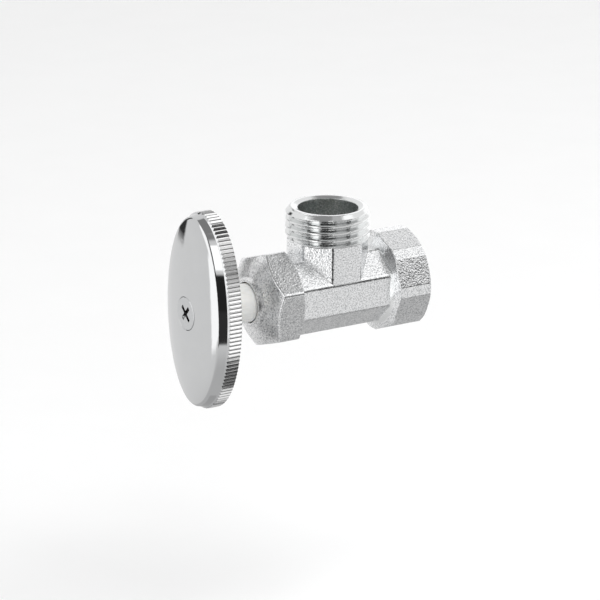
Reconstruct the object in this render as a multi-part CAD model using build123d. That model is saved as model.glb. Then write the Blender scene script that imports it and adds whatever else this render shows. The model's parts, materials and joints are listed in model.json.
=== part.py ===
from build123d import *
import math
import os

os.makedirs("parts", exist_ok=True)

# The run axis is X, with the handle towards -X and the inlet towards +X, and the outlet axis is
# +Z.  Each part is drawn about the point where the two axes cross, and exported about the
# centre of the inlet's mouth, where the valve is screwed on its supply pipe.  Millimetres.

# Body casting
flat = 9.55            # run bar, centre to flat
neck_flat = 9.48       # outlet neck, centre to flat
cast_round = 1.4       # rounding along the cast edges
bar_start = -12.85
shoulder_x = 12.4      # where the cone up to the inlet boss starts
boss_x = 13.85         # where that cone ends
inlet_x = 23.3
boss_r = 12.8          # inlet boss, axis to the narrow facets' corners
boss_half_strip = 6.2  # half of a narrow facet, degrees
end_chamfer = (0.7, 1.2)
neck_top = 13.5
outlet_top = 21.55

# Half-inch parallel pipe thread
pipe_major = 10.4775
pipe_minor = 9.32
pipe_pitch = 1.8143
outlet_bore = 7.5
rim_inner = 8.6        # flat ring round the outlet's mouth
rim_outer = 9.3
port_r = 5.6

# Inside the run
inlet_minor = 9.44
inlet_major = 10.52
mouth_bevel = 0.4
inlet_floor = 13.2
inlet_pocket = 8.1
wall_x = 9.8
orifice_r = 3.0
seat_x = 6.2
seat_land_r = 4.7
chamber_r = 6.5
chamber_floor = 7.3
stem_thread_from = -16.4
stem_thread_to = -6.4

# Bonnet nut and its thread on the body
nut_half_flats = 10.9
nut_turn = 19.7        # corner angle above the front, degrees
nut_corner_round = 1.1
nut_edge_round = 0.45
nut_front_x = -20.05
nut_mouth_x = -22.95
mouth_r = 5.1
cavity_r = 6.6
cavity_x = -20.6
spigot_x = -18.3
bonnet_major = 8.95
bonnet_minor = 8.4
bonnet_pitch = 1.0

# Stem
stem_r = 4.85
stem_square = 6.6
square_end = -36.5
shank_end = -31.6
lead = 1.5             # travel for one turn of the handle
stem_major = 6.0
stem_core = 5.2
stem_thread_start = -11.4
stem_thread_end = -5.3
nose_r = 4.6
nose_x = -1.6
socket_r = 2.05
socket_cavity_r = 2.8
pilot_r = 2.0

# Plug: carrier, soft washer and the screw that holds it
carrier_r = 5.5
carrier_back = 0.4
washer_back = 3.1
washer_r = 4.6
bevel_x = 4.9
washer_front = 6.8
plug_screw_r = 1.5

# Handle
rim_y = 14.15
rim_z = 24.9
rim_front = -36.25
rim_back = -32.4
face_y = 12.56
face_z = 23.88
crown_x = -40.2
edge_drop = 1.98
edge_round = 1.0
lip = 0.55             # rim's smooth front edge, outside the flared side of the dome
teeth = 119
tooth_depth = 0.36
screw_head_r = 4.1
head_depth = 1.9


def ring_x(points):
    """Solid turned about X from (x, radius) corners."""
    with BuildPart() as turned:
        with BuildSketch(Plane.XY):
            with BuildLine():
                Polyline(*points, close=True)
            make_face()
        revolve(axis=Axis.X)
    return turned.part


def ring_z(points):
    """Solid turned about Z from (radius, z) corners."""
    with BuildPart() as turned:
        with BuildSketch(Plane.XZ):
            with BuildLine():
                Polyline(*points, close=True)
            make_face()
        revolve(axis=Axis.Z)
    return turned.part


def helix_ridge(root_r, crest_r, pitch, length, base, crest):
    """Ridge wound about +Z from z = 0: base wide at root_r, crest wide at crest_r."""
    depth = crest_r - root_r
    sunk_r = root_r - math.copysign(0.12, depth)
    sunk_base = base + (base - crest) * 0.12 / abs(depth)
    path = Helix(pitch=pitch, height=length, radius=root_r)
    with BuildSketch(Plane.XZ) as section:
        with BuildLine():
            Polyline(
                (sunk_r, -sunk_base / 2),
                (crest_r, -crest / 2),
                (crest_r, crest / 2),
                (sunk_r, sunk_base / 2),
                close=True,
            )
        make_face()
    return Solid.sweep(section.sketch.faces()[0], Wire([path]), is_frenet=True)


def to_x(shape, x):
    """Lay a shape built along +Z on the X axis, its z = 0 at x."""
    return Pos(x, 0, 0) * Rot(0, 90, 0) * shape


def octagon_bar(plane, half_flats, length):
    """Cast octagonal bar with rounded edges."""
    with BuildPart() as bar:
        with BuildSketch(plane) as outline:
            RegularPolygon(half_flats, 8, major_radius=False, rotation=22.5)
            fillet(outline.vertices(), cast_round)
        extrude(amount=length)
    return bar.part


def inlet_boss():
    """Sixteen-sided boss: eight wide facets with a narrow one at each corner."""
    corners = []
    for step in range(8):
        for side in (-1, 1):
            angle = math.radians(45 * step + side * boss_half_strip)
            corners.append((boss_r * math.cos(angle), boss_r * math.sin(angle)))
    with BuildPart() as prism:
        with BuildSketch(Plane.YZ.offset(shoulder_x - 2)) as outline:
            with BuildLine():
                Polyline(*corners, close=True)
            make_face()
            fillet(outline.vertices(), 0.35)
        extrude(amount=inlet_x - shoulder_x + 2)
    envelope = ring_x([
        (shoulder_x - 0.5, 0),
        (shoulder_x - 0.5, flat - 1.2),
        (shoulder_x, flat),
        (boss_x, boss_r),
        (inlet_x - end_chamfer[0], boss_r),
        (inlet_x, boss_r - end_chamfer[1]),
        (inlet_x, 0),
    ])
    return prism.part & envelope


def outlet_thread():
    """Threaded end of the neck, chamfered at the rim."""
    core = ring_z([
        (0, neck_top - 3),
        (pipe_minor, neck_top - 3),
        (pipe_minor, outlet_top),
        (0, outlet_top),
    ])
    turns = 5.2 * pipe_pitch
    ridge = Pos(0, 0, neck_top - 0.25) * Rot(0, 0, 200) * helix_ridge(
        pipe_minor, pipe_major, pipe_pitch, turns, 0.88 * pipe_pitch, 0.24 * pipe_pitch
    )
    envelope = ring_z([
        (0, neck_top - 3),
        (neck_flat, neck_top - 0.3),
        (pipe_major + 0.1, neck_top + 0.3),
        (pipe_major + 0.1, outlet_top - 1.45),
        (rim_outer, outlet_top),
        (0, outlet_top),
    ])
    return (core + ridge) & envelope


def body_bore():
    """Everything cut out of the casting along the run."""
    return ring_x([
        (inlet_x + 1, 0),
        (inlet_x + 1, inlet_minor + mouth_bevel),
        (inlet_x, inlet_minor + mouth_bevel),
        (inlet_x - mouth_bevel, inlet_minor),
        (inlet_floor, inlet_minor),
        (inlet_floor, inlet_pocket),
        (wall_x + 1.2, inlet_pocket),
        (wall_x, inlet_pocket - 1.2),
        (wall_x, orifice_r + 0.4),
        (wall_x - 0.4, orifice_r),
        (seat_x + 0.45, orifice_r),
        (seat_x, orifice_r + 0.45),
        (seat_x, seat_land_r),
        (chamber_floor, seat_land_r + 0.3),
        (chamber_floor, chamber_r),
        (stem_thread_to, chamber_r),
        (stem_thread_to, stem_major + 0.12),
        (stem_thread_from, stem_major + 0.12),
        (stem_thread_from, cavity_r),
        (spigot_x - 1, cavity_r),
        (spigot_x - 1, 0),
    ])


def outlet_bore_cut():
    """Port up from the chamber and the wide bore of the outlet."""
    return ring_z([
        (0, 0),
        (port_r, 0),
        (port_r, 9.6),
        (outlet_bore, 11.2),
        (outlet_bore, outlet_top - 0.5),
        (rim_inner, outlet_top),
        (rim_inner, outlet_top + 1),
        (0, outlet_top + 1),
    ])


def bonnet_spigot():
    """Threaded end of the body that takes the bonnet nut."""
    core = ring_x([
        (bar_start + 2, 0),
        (bar_start + 2, bonnet_minor - 0.1),
        (spigot_x + 0.4, bonnet_minor - 0.1),
        (spigot_x, bonnet_minor - 0.5),
        (spigot_x, 0),
    ])
    ridge = to_x(helix_ridge(
        bonnet_minor - 0.1, bonnet_major, bonnet_pitch, 4 * bonnet_pitch,
        0.78 * bonnet_pitch, 0.14 * bonnet_pitch,
    ), spigot_x + 0.75)
    return core + ridge


def make_valve_body():
    """Tee casting: bar, inlet boss, neck with outlet thread, seat and all its threads."""
    bar = octagon_bar(Plane.YZ.offset(bar_start), flat, shoulder_x + 0.3 - bar_start)
    neck = octagon_bar(Plane.XY, neck_flat, neck_top)
    solid = bar + neck + inlet_boss() + outlet_thread() + bonnet_spigot()
    solid = solid - body_bore() - outlet_bore_cut()
    inlet_groove = to_x(Rot(0, 0, 90) * helix_ridge(
        inlet_minor, inlet_major, pipe_pitch, 4.9 * pipe_pitch,
        0.46 * pipe_pitch, 0.14 * pipe_pitch,
    ), inlet_floor + 1.7)
    stem_ridge = to_x(Rot(0, 0, 180) * helix_ridge(
        stem_major + 0.12, stem_core + 0.12, lead, 5.6 * lead,
        0.72 * lead, 0.2 * lead,
    ), stem_thread_start - 3.6)
    return solid - inlet_groove + stem_ridge


def nut_envelope():
    """Turned outside of the bonnet nut: flared front, cove at the mouth, chamfered back."""
    corner_r = nut_half_flats / math.cos(math.radians(30))
    cove = (nut_mouth_x + 0.95, mouth_r + 1.25)
    with BuildPart() as turned:
        with BuildSketch(Plane.XY) as profile:
            with BuildLine():
                Polyline((nut_mouth_x, 0), (nut_mouth_x, mouth_r + 0.55), cove)
                ThreePointArc(cove, (nut_front_x, nut_half_flats), (nut_front_x + 1.1, corner_r + 0.05))
                Polyline(
                    (nut_front_x + 1.1, corner_r + 0.05),
                    (bar_start - 0.95, corner_r + 0.05),
                    (bar_start, nut_half_flats - 0.05),
                    (bar_start, 0),
                    (nut_mouth_x, 0),
                )
            make_face()
            fillet(profile.vertices().filter_by_position(Axis.Y, cove[1] - 0.01, cove[1] + 0.01), 1.4)
        revolve(axis=Axis.X)
    return turned.part


def make_bonnet_nut():
    """Hexagon nut with a flared front, threaded on to the body."""
    with BuildPart() as prism:
        with BuildSketch(Plane.YZ.offset(nut_mouth_x)) as outline:
            RegularPolygon(nut_half_flats, 6, major_radius=False, rotation=180 - nut_turn)
            fillet(outline.vertices(), nut_corner_round)
        extrude(amount=bar_start - nut_mouth_x)
    with BuildPart() as nut:
        add(prism.part & nut_envelope())
        front = nut.edges().filter_by_position(Axis.X, nut_front_x - 0.5, nut_front_x + 1.3)
        fillet(front, nut_edge_round)
    bore = ring_x([
        (bar_start + 1, 0),
        (bar_start + 1, bonnet_major + 0.25),
        (bar_start, bonnet_major + 0.25),
        (bar_start - 0.3, bonnet_major + 0.08),
        (spigot_x - 0.3, bonnet_major + 0.08),
        (spigot_x - 0.3, cavity_r),
        (cavity_x, cavity_r),
        (cavity_x, mouth_r),
        (nut_mouth_x - 1, mouth_r),
        (nut_mouth_x - 1, 0),
    ])
    ridge = to_x(Rot(0, 0, 180) * helix_ridge(
        bonnet_major + 0.08, bonnet_minor, bonnet_pitch, 4 * bonnet_pitch,
        0.7 * bonnet_pitch, 0.12 * bonnet_pitch,
    ), spigot_x + 0.75)
    return nut.part - bore + ridge


def make_washer(x_from, x_to, inner, outer):
    """Flat ring on the X axis."""
    return ring_x([(x_from, inner), (x_to, inner), (x_to, outer), (x_from, outer)])


def make_packing_ring():
    """Soft packing squeezed round the stem, with bevelled corners."""
    left = cavity_x + 0.7
    right = stem_thread_from - 0.7
    return ring_x([
        (left, stem_r + 0.05),
        (right, stem_r + 0.05),
        (right, cavity_r - 0.5),
        (right - 0.45, cavity_r - 0.02),
        (left + 0.45, cavity_r - 0.02),
        (left, cavity_r - 0.5),
    ])


def make_stem():
    """Plastic stem: square for the handle, shank, thread and a socket for the plug."""
    turned = ring_x([
        (shank_end, 0),
        (shank_end, stem_r - 0.4),
        (shank_end + 0.4, stem_r),
        (stem_thread_start - 0.4, stem_r),
        (stem_thread_start, stem_core),
        (stem_thread_end, stem_core),
        (stem_thread_end + 0.5, nose_r),
        (nose_x - 0.3, nose_r),
        (nose_x, nose_r - 0.3),
        (nose_x, 0),
    ])
    with BuildPart() as square:
        with BuildSketch(Plane.YZ.offset(square_end)) as outline:
            Rectangle(stem_square, stem_square)
            fillet(outline.vertices(), 0.5)
        extrude(amount=shank_end + 1 - square_end)
        chamfer(square.faces().sort_by(Axis.X)[0].edges(), 0.4)
    ridge = to_x(helix_ridge(
        stem_core, stem_major, lead, 3.1 * lead, 0.72 * lead, 0.2 * lead,
    ), stem_thread_start + 0.9)
    hollow = ring_x([
        (nose_x + 1, 0),
        (nose_x + 1, socket_r + 0.5),
        (nose_x, socket_r + 0.5),
        (nose_x - 0.5, socket_r),
        (-5.1, socket_r),
        (-5.1, socket_cavity_r),
        (-7.3, socket_cavity_r),
        (-8.4, 0),
    ])
    pilot = ring_x([
        (square_end - 1, 0),
        (square_end - 1, pilot_r),
        (-27.6, pilot_r),
        (-26.6, 0),
    ])
    return turned + square.part + ridge - hollow - pilot


def make_plug_carrier():
    """Swivelling cup that carries the soft washer, with a snap-in tail."""
    return ring_x([
        (-6.9, 0),
        (-6.9, 1.7),
        (-5.9, 2.5),
        (-5.3, 2.5),
        (-5.3, socket_r - 0.05),
        (-1.45, socket_r - 0.05),
        (-1.45, 3.4),
        (carrier_back, 3.4),
        (carrier_back, carrier_r - 0.4),
        (carrier_back + 0.4, carrier_r),
        (bevel_x - 0.5, carrier_r),
        (bevel_x - 0.2, carrier_r - 0.3),
        (bevel_x - 0.2, washer_r),
        (washer_back, washer_r),
        (washer_back, plug_screw_r),
        (1.0, plug_screw_r),
        (0.5, 0),
    ])


def make_seat_washer():
    """Soft tapered washer that closes on the conical seat."""
    return ring_x([
        (washer_back, plug_screw_r),
        (washer_back, washer_r),
        (bevel_x, washer_r),
        (washer_front, washer_r - (washer_front - bevel_x)),
        (washer_front, plug_screw_r),
    ])


def make_plug_screw():
    """Slotted screw through the soft washer."""
    screw = ring_x([
        (1.2, 0),
        (1.2, 1.1),
        (1.6, plug_screw_r),
        (washer_front, plug_screw_r),
        (washer_front, 2.3),
        (washer_front + 0.7, 2.3),
        (washer_front + 1.1, 1.7),
        (washer_front + 1.1, 0),
    ])
    slot = Pos(washer_front + 1.0, 0, 0) * Box(1.0, 6, 0.6)
    return screw - slot


def knurled_rim():
    """Oval band with straight serrations round its edge."""
    count = 4000
    points = []
    for step in range(count):
        angle = 2 * math.pi * step / count
        points.append((rim_y * math.cos(angle), rim_z * math.sin(angle)))
    lengths = [0.0]
    for step in range(count):
        here = points[step]
        after = points[(step + 1) % count]
        lengths.append(lengths[-1] + math.dist(here, after))
    outline = []
    place = 0
    for tooth in range(2 * teeth):
        target = lengths[-1] * tooth / (2 * teeth)
        while lengths[place + 1] < target:
            place += 1
        y, z = points[place]
        depth = tooth_depth if tooth % 2 else 0.0
        slope = math.hypot(y / rim_y**2, z / rim_z**2)
        outline.append((
            y - depth * y / rim_y**2 / slope,
            z - depth * z / rim_z**2 / slope,
        ))
    with BuildPart() as band:
        with BuildSketch(Plane.YZ.offset(rim_front)):
            with BuildLine():
                Polyline(*outline, close=True)
            make_face()
        extrude(amount=rim_back - rim_front)
    with BuildPart() as blank:
        with BuildSketch(Plane.YZ.offset(rim_front)):
            Ellipse(rim_y, rim_z)
        extrude(amount=rim_back - rim_front)
        chamfer(blank.edges().sort_by(Axis.X)[0], lip)
        chamfer(blank.edges().sort_by(Axis.X)[-1], 0.3)
    return band.part & blank.part


def handle_dome():
    """Oval front of the handle: gently domed face, rounded edge, side flaring out to the rim."""
    reach = 1.14
    height = edge_drop / (1 - math.sqrt(1 - 1 / reach**2))
    dome = scale(Sphere(1), by=(height, face_y * reach, face_z * reach))
    dome = Pos(crown_x + height, 0, 0) * dome
    edge_x = crown_x + edge_drop
    flare_y = (rim_y - lip - face_y) / (rim_front - edge_x)
    flare_z = (rim_z - lip - face_z) / (rim_front - edge_x)
    with BuildPart() as side:
        for x in (crown_x - 0.5, rim_front + 0.3):
            with BuildSketch(Plane.YZ.offset(x)):
                Ellipse(face_y + flare_y * (x - edge_x), face_z + flare_z * (x - edge_x))
        loft()
    with BuildPart() as front:
        add(side.part & dome)
        rim = front.edges().group_by(Axis.X)
        fillet(rim[0] if len(rim) > 1 else rim, edge_round)
    return front.part


def make_handle():
    """Oval handle with a knurled rim, hollow behind, and a square socket in its hub."""
    solid = knurled_rim() + handle_dome()
    with BuildPart() as hollow:
        with BuildSketch(Plane.YZ.offset(rim_back + 0.5)):
            Ellipse(face_y - 1.6, face_z - 1.6)
        extrude(amount=-4.3)
        fillet(hollow.edges().sort_by(Axis.X)[0], 0.8)
    hub = ring_x([
        (-37.0, 0),
        (-37.0, 6.6),
        (shank_end - 0.5, 6.3),
        (shank_end - 0.1, 5.9),
        (shank_end - 0.1, 0),
    ])
    ribs = Pos(-35.2, 0, 0) * Box(3.4, 1.4, 2 * face_z - 3)
    ribs += Pos(-35.2, 0, 0) * Box(3.4, 2 * face_y - 3, 1.4)
    solid = solid - hollow.part + ribs + hub
    with BuildPart() as socket:
        with BuildSketch(Plane.YZ.offset(square_end - 0.1)) as outline:
            Rectangle(stem_square + 0.1, stem_square + 0.1)
            fillet(outline.vertices(), 0.5)
        extrude(amount=8)
    hole = ring_x([
        (crown_x - 1, 0),
        (crown_x - 1, screw_head_r + 0.12),
        (crown_x + 0.1, screw_head_r + 0.12),
        (crown_x + head_depth + 0.15, 2.25),
        (square_end + 1, 2.25),
        (square_end + 1, 0),
    ])
    return solid - socket.part - hole


def make_handle_screw():
    """Countersunk cross-recess screw that holds the handle on the stem."""
    screw = ring_x([
        (crown_x + 0.02, 0),
        (crown_x + 0.02, screw_head_r - 0.12),
        (crown_x + 0.14, screw_head_r),
        (crown_x + head_depth + 0.02, pilot_r),
        (-28.6, pilot_r),
        (-27.8, 1.1),
        (-27.8, 0),
    ])
    cross = Box(3, 1.0, 5) + Box(3, 5, 1.0)
    taper = ring_x([
        (crown_x - 1, 0),
        (crown_x - 1, 2.6),
        (crown_x, 2.35),
        (crown_x + 1.0, 1.9),
        (crown_x + 1.9, 0.8),
        (crown_x + 2.2, 0),
    ])
    recess = (Pos(crown_x + 1.2, 0, 0) * Rot(42, 0, 0) * cross) & taper
    return screw - recess


parts = {
    "valve_body": make_valve_body(),
    "bonnet_nut": make_bonnet_nut(),
    "gland_washer": make_washer(cavity_x, cavity_x + 0.7, stem_r + 0.15, cavity_r - 0.05),
    "packing_ring": make_packing_ring(),
    "packing_base_washer": make_washer(
        stem_thread_from - 0.7, stem_thread_from, stem_r + 0.15, cavity_r - 0.05
    ),
    "stem": make_stem(),
    "plug_carrier": make_plug_carrier(),
    "seat_washer": make_seat_washer(),
    "plug_screw": make_plug_screw(),
    "handle": make_handle(),
    "handle_screw": make_handle_screw(),
}

for node, shape in parts.items():
    export_step(Pos(-inlet_x, 0, 0) * shape, f"parts/{node}.step")
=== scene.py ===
import json
import math

import bpy
from mathutils import Matrix, Vector


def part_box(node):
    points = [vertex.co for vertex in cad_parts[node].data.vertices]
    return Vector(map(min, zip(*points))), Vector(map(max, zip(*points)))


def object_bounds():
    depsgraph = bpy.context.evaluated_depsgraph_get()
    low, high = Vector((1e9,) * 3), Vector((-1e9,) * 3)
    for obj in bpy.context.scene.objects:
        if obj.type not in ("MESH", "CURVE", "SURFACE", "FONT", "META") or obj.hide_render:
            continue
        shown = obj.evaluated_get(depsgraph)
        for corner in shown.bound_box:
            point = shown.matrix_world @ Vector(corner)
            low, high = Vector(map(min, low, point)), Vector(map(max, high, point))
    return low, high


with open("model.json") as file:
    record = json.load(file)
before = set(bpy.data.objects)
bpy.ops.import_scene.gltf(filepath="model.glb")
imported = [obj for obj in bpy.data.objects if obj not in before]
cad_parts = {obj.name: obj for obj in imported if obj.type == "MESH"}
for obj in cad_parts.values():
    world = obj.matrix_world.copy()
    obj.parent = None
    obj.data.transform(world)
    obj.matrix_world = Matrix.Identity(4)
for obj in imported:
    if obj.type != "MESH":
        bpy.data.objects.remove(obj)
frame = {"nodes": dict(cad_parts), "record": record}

# Every length is in metres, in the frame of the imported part: the run axis is X, with the handle
# towards -X, and the outlet is along +Z.
MM = 0.001

cad_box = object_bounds()
mounts = {mount["name"]: mount for mount in frame["record"]["mounts"]}
outlet_x = mounts["outlet_bore"]["pos_m"][0]
outlet_bore_r = mounts["outlet_bore"]["dims"]["r_mm"] * MM
outlet_rim_z = mounts["outlet_rim"]["pos_m"][2]
thread_length = mounts["outlet_thread"]["dims"]["length_mm"] * MM
inlet_thread_r = mounts["inlet_thread"]["dims"]["r_mm"] * MM
axes_meet = Vector((outlet_x, 0, 0))

# Body
INLET_THREAD_END = -10.5 * MM       # x of the inlet thread's inner end
INLET_THREAD_REACH = 1.3 * MM       # how far its turned wall reaches past its radius
BORE_FOOT = 4 * MM                  # lowest z of the outlet's cast bore

# Bonnet nut
FLARE_LENGTH = 2.6 * MM             # its flared front, along x

# Handle
GRIP_START = 4.4 * MM               # serrations start this far behind the screw's face
GROOVE_DEPTH = 0.34 * MM            # of the serrations
RIM_WALL = 0.6 * MM                 # metal between the grip's outline and the hollow back

# Handle screw
RECESS = (0.15 * MM, 0.9 * MM)      # depths between which its recess turns dark

# Blasted skin
WAVE_SIZE = 2.2 * MM
WAVE_DEPTH = 0.03 * MM
PIT_SIZE = 0.48 * MM
GRAIN_SIZE = 0.40 * MM
GRAIN_DEPTH = 0.040 * MM

# Colours
# The pit colours below are painted shade in the plate's pits, and the grain colours are painted
# glints.
PLATE_PIT_SHADE = (0.58, 0.59, 0.60, 1)
PLATE_GRAIN_GLINT = (0.97, 0.975, 0.98, 1)
NUT_GRAIN_GLINT = (0.96, 0.965, 0.97, 1)
FLARE_PIT_SHADE = (0.44, 0.45, 0.46, 1)
BORE_PIT_SHADE = (0.56, 0.59, 0.58, 1)
WHITE_GRAIN_GLINT = (1.0, 1.0, 1.0, 1)
TURNED_PLATE = (0.81, 0.82, 0.82, 1)
CHROME_LIGHT = (0.64, 0.645, 0.65, 1)
CHROME_HAZE = (0.59, 0.595, 0.60, 1)
GRIP_CHROME = (0.98, 0.98, 0.98, 1)
GROOVE_SHADE = (0.16, 0.16, 0.16, 1)
SATIN_BACK = (0.86, 0.86, 0.86, 1)
SCREW_HAZE = (0.55, 0.56, 0.57, 1)
RECESS_SHADE = (0.05, 0.05, 0.05, 1)
PLASTIC_CLOUD = (0.80, 0.80, 0.775, 1)
PLASTIC_WHITE = (0.88, 0.88, 0.865, 1)
BRASS = (0.78, 0.58, 0.27, 1)
BRASS_TARNISH = (0.60, 0.43, 0.20, 1)
STEEL = (0.60, 0.59, 0.57, 1)
STEEL_TARNISH = (0.48, 0.47, 0.46, 1)
RUBBER = (0.018, 0.018, 0.018, 1)
RUBBER_BLOOM = (0.045, 0.044, 0.042, 1)
FLOOR_DULL = (0.93, 0.93, 0.93, 1)
FLOOR_PALE = (0.96, 0.96, 0.96, 1)

# Camera, with angles in degrees
AZIMUTH = -31.42                    # from -Y towards +X
ELEVATION = 18.44
ROLL = 0.64
DISTANCE = 0.7514
LENS = 181.4
SENSOR = 36.0
AIM_LEFT = 6.65 * MM                # the view's centre, left of where the valve's two axes meet
AIM_DOWN = 2.94 * MM                # and below it
CLIP_NEAR = 0.01
CLIP_FAR = 100

# Studio
FLOOR_DROP = 0.06                   # gap between the valve's lowest point and the floor
FLOOR_HALF = 6.0
FLOOR_GRAIN = 0.02
LOW_LIGHT = 0.75                    # the tent's brightness low down
MAIN_LIGHT = 1.12                   # and round the valve
TOP_SHARE = 0.33                    # of the main light, overhead


class Finish:
    """A material with one Principled shader, and short ways to add nodes to it."""

    def __init__(self, name, **sockets):
        self.material = bpy.data.materials.new(name)
        self.material.use_nodes = True
        self.tree = self.material.node_tree
        self.shader = self.tree.nodes["Principled BSDF"]
        self.place = self.tree.nodes.new("ShaderNodeTexCoord").outputs["Object"]
        for socket, value in sockets.items():
            self.shader.inputs[socket.replace("_", " ")].default_value = value

    def feed(self, value, socket):
        """Join an output to a socket, or set the socket to a plain value."""
        if isinstance(value, bpy.types.NodeSocket):
            self.tree.links.new(value, socket)
        else:
            socket.default_value = value

    def calc(self, operation, *values, clamp=False):
        """Sum, product or other function of the values."""
        node = self.tree.nodes.new("ShaderNodeMath")
        node.operation = operation
        node.use_clamp = clamp
        for value, socket in zip(values, node.inputs):
            self.feed(value, socket)
        return node.outputs[0]

    def axes(self):
        """The point's x, y and z in the part's frame."""
        node = self.tree.nodes.new("ShaderNodeSeparateXYZ")
        self.feed(self.place, node.inputs[0])
        return node.outputs[0], node.outputs[1], node.outputs[2]

    def vector(self, x, y, z):
        node = self.tree.nodes.new("ShaderNodeCombineXYZ")
        for value, socket in zip((x, y, z), node.inputs):
            self.feed(value, socket)
        return node.outputs[0]

    def ramp(self, value, low, high, to_low=0.0, to_high=1.0):
        """Smooth step from to_low to to_high as value goes from low to high."""
        node = self.tree.nodes.new("ShaderNodeMapRange")
        node.interpolation_type = "SMOOTHSTEP"
        for item, socket in zip((value, low, high, to_low, to_high), node.inputs):
            self.feed(item, socket)
        return node.outputs[0]

    def noise(self, size, detail=2.0, roughness=0.5, vector=None):
        """Noise from 0 to 1 with features about size metres across."""
        node = self.tree.nodes.new("ShaderNodeTexNoise")
        self.feed(vector or self.place, node.inputs["Vector"])
        node.inputs["Scale"].default_value = 1 / size
        node.inputs["Detail"].default_value = detail
        node.inputs["Roughness"].default_value = roughness
        return node.outputs["Fac"]

    def cells(self, size):
        """Distance to the nearest of random points about size metres apart."""
        node = self.tree.nodes.new("ShaderNodeTexVoronoi")
        node.feature = "SMOOTH_F1"
        self.feed(self.place, node.inputs["Vector"])
        node.inputs["Scale"].default_value = 1 / size
        return node.outputs["Distance"]

    def blend(self, factor, first, second):
        """Colour between first and second."""
        node = self.tree.nodes.new("ShaderNodeMix")
        node.data_type = "RGBA"
        self.feed(factor, node.inputs[0])
        self.feed(first, node.inputs[6])
        self.feed(second, node.inputs[7])
        return node.outputs[2]

    def bump(self, height, depth, strength=1.0, under=None):
        """Relief of depth metres from a height of 0 to 1, on top of an earlier relief."""
        node = self.tree.nodes.new("ShaderNodeBump")
        node.inputs["Distance"].default_value = depth
        self.feed(strength, node.inputs["Strength"])
        self.feed(height, node.inputs["Height"])
        if under is not None:
            self.feed(under, node.inputs["Normal"])
        return node.outputs["Normal"]

    def soft_edges(self, radius):
        """Normal that rounds the edges over to a radius."""
        node = self.tree.nodes.new("ShaderNodeBevel")
        node.samples = 6
        node.inputs["Radius"].default_value = radius
        return node.outputs["Normal"]

    def set(self, **sockets):
        """Fill the shader's sockets, and return the material."""
        for socket, value in sockets.items():
            self.feed(value, self.shader.inputs[socket.replace("_", " ")])
        return self.material


def either(finish, first, second):
    """Larger of two masks."""
    return finish.calc("MAXIMUM", first, second)


def both(finish, first, second):
    """Product of two masks."""
    return finish.calc("MULTIPLY", first, second)


def diagonal(finish, first, second):
    """Length of the diagonal of a box with these sides."""
    return finish.calc("SQRT", finish.calc("ADD", finish.calc("MULTIPLY", first, first),
                                           finish.calc("MULTIPLY", second, second)))


def distance_from_outlet_axis(finish):
    x, y, _ = finish.axes()
    return diagonal(finish, finish.calc("SUBTRACT", x, outlet_x), y)


def distance_from_run_axis(finish):
    _, y, z = finish.axes()
    return diagonal(finish, y, z)


def plus_share(finish, base, mask, extra):
    """The base, with as much of the extra as the mask says."""
    return finish.calc("ADD", base, finish.calc("MULTIPLY", mask, extra))


def blasted(finish, edge, depth=GRAIN_DEPTH, strength=1.0):
    """Peened skin of a blasted casting: fine pits over slight waviness."""
    waves = finish.bump(finish.noise(WAVE_SIZE, 2.0), WAVE_DEPTH, 1.0, edge)
    pits = finish.bump(finish.cells(PIT_SIZE), depth * 0.6, strength, waves)
    return finish.bump(finish.noise(GRAIN_SIZE, 2.0, 0.6), depth, strength, pits)


def painted_pit_shade_and_glints(finish, pit_shade, grain, size=0.38 * MM, share=0.46, softness=0.12):
    """Plate colour of painted shade in the pits and painted glints on the grains, with fewer grains
    for a larger share.
    """
    fine = finish.ramp(finish.noise(size, 3.0, 0.65), share - softness, share + softness)
    patches = finish.ramp(finish.noise(3.0 * MM, 4.0, 0.6), 0.2, 0.8, -softness, softness)
    return finish.blend(finish.calc("ADD", fine, patches, clamp=True), pit_shade, grain)


def plated_casting():
    """Valve body: blasted and plated casting, with turned threads, mouths and rims."""
    finish = Finish("plated_casting", Metallic=1.0)
    x, _, z = finish.axes()
    outlet_r = distance_from_outlet_axis(finish)
    run_r = distance_from_run_axis(finish)

    thread_foot = outlet_rim_z - thread_length
    on_outlet = finish.ramp(z, thread_foot - 0.15 * MM, thread_foot + 0.05 * MM)
    inlet_wall_r = inlet_thread_r + INLET_THREAD_REACH
    in_inlet = both(
        finish,
        finish.ramp(run_r, inlet_wall_r + 0.3 * MM, inlet_wall_r),
        finish.ramp(x, INLET_THREAD_END - 0.5 * MM, INLET_THREAD_END),
    )
    on_mouth = finish.ramp(x, -0.10 * MM, -0.02 * MM)
    turned = either(finish, on_outlet, either(finish, in_inlet, on_mouth))
    inside = both(
        finish,
        finish.ramp(outlet_r, outlet_bore_r + 0.12 * MM, outlet_bore_r + 0.02 * MM),
        finish.ramp(z, BORE_FOOT - 2 * MM, BORE_FOOT),
    )
    turned = finish.calc("SUBTRACT", turned, inside, clamp=True)
    skin = finish.calc("SUBTRACT", 1.0, turned)

    lathe = finish.noise(0.16 * MM, 2.0, 0.6, finish.vector(outlet_r, z, run_r))
    edge = finish.soft_edges(0.32 * MM)
    normal = finish.bump(lathe, 0.006 * MM, turned, blasted(finish, edge, strength=skin))

    mottle = finish.noise(3.0 * MM, 4.0, 0.6)
    # Blasted skin: painted shade in its pits and painted glints on its grains.
    colour = finish.blend(turned, painted_pit_shade_and_glints(finish, PLATE_PIT_SHADE, PLATE_GRAIN_GLINT), TURNED_PLATE)
    # In the bore: painted shade, mostly dark pits with sparse painted glints, darker than the plate
    # outside.
    colour = finish.blend(inside, colour, painted_pit_shade_and_glints(finish, BORE_PIT_SHADE, WHITE_GRAIN_GLINT, 0.36 * MM, 0.56))
    rough = finish.ramp(mottle, 0.3, 0.7, 0.12, 0.17)
    rough = plus_share(finish, rough, turned, -0.04)
    rough = plus_share(finish, rough, inside, 0.15)
    return finish.set(Base_Color=colour, Roughness=rough, Normal=normal)


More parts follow.
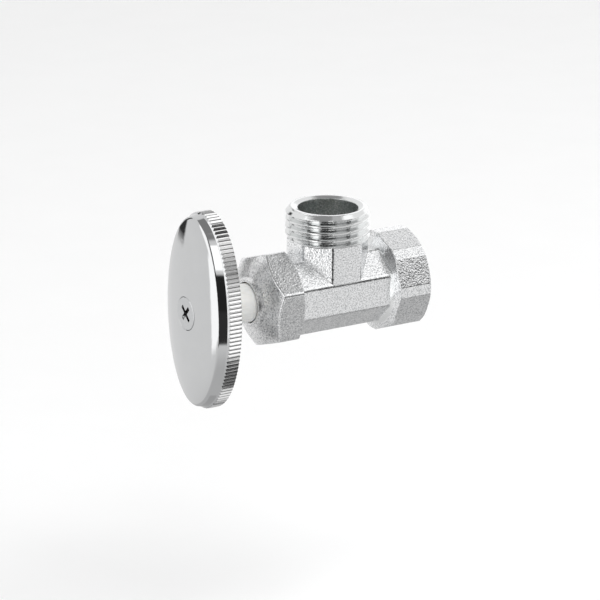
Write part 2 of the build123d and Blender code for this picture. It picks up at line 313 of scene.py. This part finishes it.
def plated_nut():
    """Bonnet nut: the same blasted plate as the body, coarser and duller on its flared front."""
    finish = Finish("plated_nut", Metallic=1.0)
    flare_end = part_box("bonnet_nut")[0][0] + FLARE_LENGTH
    flare = finish.ramp(finish.axes()[0], flare_end + 0.6 * MM, flare_end)
    mottle = finish.noise(2.6 * MM, 4.0, 0.6)
    # Painted pit shade and painted glints, coarser, with darker pits and whiter grains on the
    # flared front.
    coarse = painted_pit_shade_and_glints(finish, FLARE_PIT_SHADE, WHITE_GRAIN_GLINT, 0.42 * MM)
    colour = finish.blend(flare, painted_pit_shade_and_glints(finish, PLATE_PIT_SHADE, NUT_GRAIN_GLINT), coarse)
    rough = plus_share(finish, finish.ramp(mottle, 0.3, 0.7, 0.12, 0.17), flare, 0.16)
    normal = blasted(finish, finish.soft_edges(0.20 * MM), 0.048 * MM)
    return finish.set(Base_Color=colour, Roughness=rough, Normal=normal)


def bright_chrome():
    """Handle: polished chrome, faintly rippled, with painted shade in its grip's grooves and a
    satin back.
    """
    finish = Finish("bright_chrome", Metallic=1.0)
    x, y, z = finish.axes()
    drawn_out = finish.vector(x, y, finish.calc("MULTIPLY", z, 0.03))
    streaks = finish.noise(0.10 * MM, 2.0, 0.5, drawn_out)
    haze = finish.noise(6.0 * MM, 3.0, 0.55)
    ripple = finish.bump(finish.noise(5.0 * MM, 1.0), 0.012 * MM, 1.0, finish.soft_edges(0.06 * MM))
    normal = finish.bump(streaks, 0.0006 * MM, 1.0, ripple)

    # Depth under the handle's oval outline: the oval's function, divided by how fast it grows
    half_y, half_z = cad_box[1][1], cad_box[1][2]
    across = finish.calc("DIVIDE", y, half_y)
    along = finish.calc("DIVIDE", z, half_z)
    oval = diagonal(finish, across, along)
    steep = diagonal(finish, finish.calc("DIVIDE", across, half_y),
                     finish.calc("DIVIDE", along, half_z))
    short_of = finish.calc("SUBTRACT", 1.0, oval)
    sunk = finish.calc("DIVIDE", finish.calc("MULTIPLY", short_of, oval), steep)
    grip_front = cad_box[0][0] + GRIP_START
    grip = finish.ramp(x, grip_front, grip_front + 0.2 * MM)
    groove = both(finish, grip, finish.ramp(sunk, 0.20 * MM, GROOVE_DEPTH))
    hollow = both(finish, grip, finish.ramp(sunk, RIM_WALL, RIM_WALL + 0.3 * MM))

    colour = finish.blend(haze, CHROME_HAZE, CHROME_LIGHT)
    colour = finish.blend(grip, colour, GRIP_CHROME)
    # Painted shade: the grip's grooves are coloured nearly black.
    colour = finish.blend(groove, colour, GROOVE_SHADE)
    colour = finish.blend(hollow, colour, SATIN_BACK)
    rough = finish.ramp(haze, 0.3, 0.7, 0.035, 0.075)
    rough = plus_share(finish, rough, grip, 0.11)
    rough = plus_share(finish, rough, hollow, 0.20)
    return finish.set(Base_Color=colour, Roughness=rough, Normal=normal)


def screw_chrome():
    """Chromed screw, duller than the handle, with turning rings on its head and painted shade in
    its recess.
    """
    finish = Finish("screw_chrome", Metallic=1.0)
    from_middle = finish.vector(distance_from_run_axis(finish), 0.0, 0.0)
    rings = finish.noise(0.09 * MM, 2.0, 0.5, from_middle)
    haze = finish.noise(1.2 * MM, 3.0, 0.6)
    normal = finish.bump(rings, 0.003 * MM, 1.0, finish.soft_edges(0.07 * MM))
    face = cad_box[0][0]
    # Painted shade: the recess darkens to near black with depth.
    deep = finish.ramp(finish.axes()[0], face + RECESS[0], face + RECESS[1])
    colour = finish.blend(deep, finish.blend(haze, SCREW_HAZE, CHROME_LIGHT), RECESS_SHADE)
    rough = finish.ramp(haze, 0.3, 0.7, 0.10, 0.17)
    return finish.set(Base_Color=colour, Roughness=rough, Normal=normal)


def white_plastic():
    """Glossy moulded acetal, faintly clouded, with soft flow marks along it."""
    finish = Finish("white_plastic", Metallic=0.0, IOR=1.48, Subsurface_Weight=0.25,
                    Subsurface_Radius=(1.0, 0.9, 0.8), Subsurface_Scale=0.8 * MM,
                    Coat_Weight=0.2, Coat_Roughness=0.08)
    x, y, z = finish.axes()
    cloud = finish.noise(3.5 * MM, 3.0, 0.5)
    drawn_out = finish.vector(finish.calc("MULTIPLY", x, 0.08), y, z)
    flow = finish.noise(0.5 * MM, 2.0, 0.5, drawn_out)
    colour = finish.blend(cloud, PLASTIC_CLOUD, PLASTIC_WHITE)
    rough = finish.ramp(flow, 0.3, 0.7, 0.20, 0.30)
    return finish.set(Base_Color=colour, Roughness=rough, Normal=finish.bump(flow, 0.004 * MM))


def turned_metal(name, light, dark, polish):
    """Lathe-turned metal: rings round the run axis, and patches of tarnish."""
    finish = Finish(name, Metallic=1.0)
    profile = finish.vector(finish.axes()[0], distance_from_run_axis(finish), 0.0)
    rings = finish.noise(0.11 * MM, 2.0, 0.6, profile)
    tarnish = finish.noise(1.8 * MM, 4.0, 0.6)
    colour = finish.blend(tarnish, light, dark)
    rough = finish.ramp(tarnish, 0.3, 0.7, polish, polish + 0.12)
    return finish.set(Base_Color=colour, Roughness=rough, Normal=finish.bump(rings, 0.008 * MM))


def black_rubber():
    """Moulded rubber: matt, faintly pebbled, with a bloom of lighter patches."""
    finish = Finish("black_rubber", Metallic=0.0, IOR=1.5)
    pebble = finish.noise(0.22 * MM, 3.0, 0.6)
    bloom = finish.noise(1.6 * MM, 3.0, 0.6)
    colour = finish.blend(bloom, RUBBER, RUBBER_BLOOM)
    rough = finish.ramp(bloom, 0.3, 0.7, 0.55, 0.72)
    return finish.set(Base_Color=colour, Roughness=rough, Normal=finish.bump(pebble, 0.012 * MM))


def give(node, material):
    """Put the material in every slot of a CAD node."""
    for slot in frame["nodes"][node].material_slots:
        slot.material = material


def dress_nodes():
    brass = turned_metal("turned_brass", BRASS, BRASS_TARNISH, polish=0.22)
    steel = turned_metal("turned_steel", STEEL, STEEL_TARNISH, polish=0.20)
    rubber = black_rubber()
    give("valve_body", plated_casting())
    give("bonnet_nut", plated_nut())
    give("handle", bright_chrome())
    give("handle_screw", screw_chrome())
    give("stem", white_plastic())
    give("plug_screw", steel)
    for node in ("gland_washer", "packing_base_washer", "plug_carrier"):
        give(node, brass)
    for node in ("packing_ring", "seat_washer"):
        give(node, rubber)


def heading(azimuth, elevation):
    """Unit vector: azimuth in degrees from -Y towards +X, elevation in degrees above level."""
    a, e = math.radians(azimuth), math.radians(elevation)
    return Vector((math.sin(a) * math.cos(e), -math.cos(a) * math.cos(e), math.sin(e)))


# Cards round the valve, as it sees them: brightness, the azimuths and the elevations of their
# sides, in degrees.  Later ones cover earlier ones.
CARDS = [
    (0.60, 25, 160, -95, -28),
    (0.10, 39, 54, -47, -40),
    (0.99, -10, 60, -29, -9),
    (1.90, -118, -60, -24, 50),
    (0.28, -60, -31, 16, 60),
    (2.20, -31, -13, 19, 47),
    (0.50, -13, 26, -13, 46),
    (0.62, -12, 30, 47, 70),
    (1.50, 27, 64, 18.5, 58),
    (1.50, 78, 150, -28, 20),
    (0.03, -56, -6, -14, 15),
    (0.03, 25, 42, -10, 20.5),
    (0.05, -50, -17, -30, -10),
    (0.05, -170, -155, -11, 25),
]
CARD_EDGE = 1.5                     # half of a card's soft edge, degrees


def paint_world():
    """White tent with bright and dark cards in it, which give bright metal its contrast."""
    world = bpy.data.worlds.new("studio")
    bpy.context.scene.world = world
    world.use_nodes = True
    tree = world.node_tree
    tree.nodes.clear()
    link = tree.links.new

    def node(kind, *inputs, **settings):
        made = tree.nodes.new(kind)
        for name, value in settings.items():
            setattr(made, name, value)
        for value, socket in zip(inputs, made.inputs):
            if isinstance(value, bpy.types.NodeSocket):
                link(value, socket)
            elif value is not None:
                socket.default_value = value
        return made

    def calc(operation, *values):
        return node("ShaderNodeMath", *values, operation=operation).outputs[0]

    def smooth(value, low, high, to_low, to_high):
        made = node("ShaderNodeMapRange", value, low, high, to_low, to_high,
                    interpolation_type="SMOOTHSTEP")
        return made.outputs[0]

    def between(value, low, high):
        """1 where value is between low and high, softly 0 outside."""
        away = calc("ABSOLUTE", calc("SUBTRACT", value, (low + high) / 2))
        half = (high - low) / 2
        return smooth(away, half - CARD_EDGE, half + CARD_EDGE, 1.0, 0.0)

    sight = tree.nodes.new("ShaderNodeTexCoord").outputs["Generated"]
    x, y, z = node("ShaderNodeSeparateXYZ", sight).outputs
    azimuth = calc("DEGREES", calc("ARCTAN2", x, calc("MULTIPLY", y, -1.0)))
    elevation = calc("DEGREES", calc("ARCSINE", z))
    light = calc("MULTIPLY", smooth(elevation, -50, -22, LOW_LIGHT, MAIN_LIGHT),
                 smooth(elevation, 52, 60, 1.0, TOP_SHARE))
    for brightness, left, right, low, high in CARDS:
        card = calc("MULTIPLY", between(azimuth, left, right), between(elevation, low, high))
        light = calc("ADD", calc("MULTIPLY", light, calc("SUBTRACT", 1.0, card)),
                     calc("MULTIPLY", card, brightness))
    seen = tree.nodes.new("ShaderNodeLightPath").outputs["Is Camera Ray"]
    light = calc("ADD", calc("MULTIPLY", light, calc("SUBTRACT", 1.0, seen)), seen)
    background = node("ShaderNodeBackground", None, light)
    output = tree.nodes.new("ShaderNodeOutputWorld")
    link(background.outputs[0], output.inputs[0])


def add_floor():
    """Wide pale floor, kept out of the metal's reflections, which show the studio instead."""
    level = cad_box[0][2] - FLOOR_DROP
    mesh = bpy.data.meshes.new("floor")
    corners = [(-1, -1), (1, -1), (1, 1), (-1, 1)]
    points = [(x * FLOOR_HALF, y * FLOOR_HALF, level) for x, y in corners]
    mesh.from_pydata(points, [], [(0, 1, 2, 3)])
    floor = bpy.data.objects.new("floor", mesh)
    bpy.context.scene.collection.objects.link(floor)
    finish = Finish("pale_floor", Roughness=0.9)
    grain = finish.noise(FLOOR_GRAIN, 3.0)
    finish.set(Base_Color=finish.blend(grain, FLOOR_DULL, FLOOR_PALE))
    mesh.materials.append(finish.material)
    floor.visible_glossy = False


def add_softbox(name, azimuth, elevation, distance, side, watts):
    """Square soft light that shines on the valve."""
    data = bpy.data.lights.new(name, "AREA")
    data.shape = "SQUARE"
    data.size = side
    data.energy = watts
    lamp = bpy.data.objects.new(name, data)
    toward = heading(azimuth, elevation)
    lamp.location = axes_meet + toward * distance
    lamp.rotation_euler = toward.to_track_quat("Z", "Y").to_euler()
    lamp.visible_camera = False
    lamp.visible_glossy = False
    bpy.context.scene.collection.objects.link(lamp)


def add_camera():
    """Camera at the fitted angle and distance."""
    data = bpy.data.cameras.new("camera")
    data.lens = LENS
    data.sensor_width = SENSOR
    data.clip_start = CLIP_NEAR
    data.clip_end = CLIP_FAR
    camera = bpy.data.objects.new("camera", data)
    bpy.context.scene.collection.objects.link(camera)
    back = heading(AZIMUTH, ELEVATION)
    level = heading(AZIMUTH + 90, 0)
    upright = back.cross(level)
    roll = math.radians(ROLL)
    right = level * math.cos(roll) + upright * math.sin(roll)
    up = back.cross(right)
    spot = axes_meet - right * AIM_LEFT - up * AIM_DOWN + back * DISTANCE
    camera.matrix_world = Matrix.Translation(spot) @ Matrix((right, up, back)).transposed().to_4x4()
    bpy.context.scene.camera = camera


dress_nodes()
paint_world()
add_floor()
add_softbox("key_light", azimuth=30, elevation=62, distance=1.3, side=0.9, watts=9)
add_camera()
bpy.context.scene.view_settings.view_transform = "Standard"
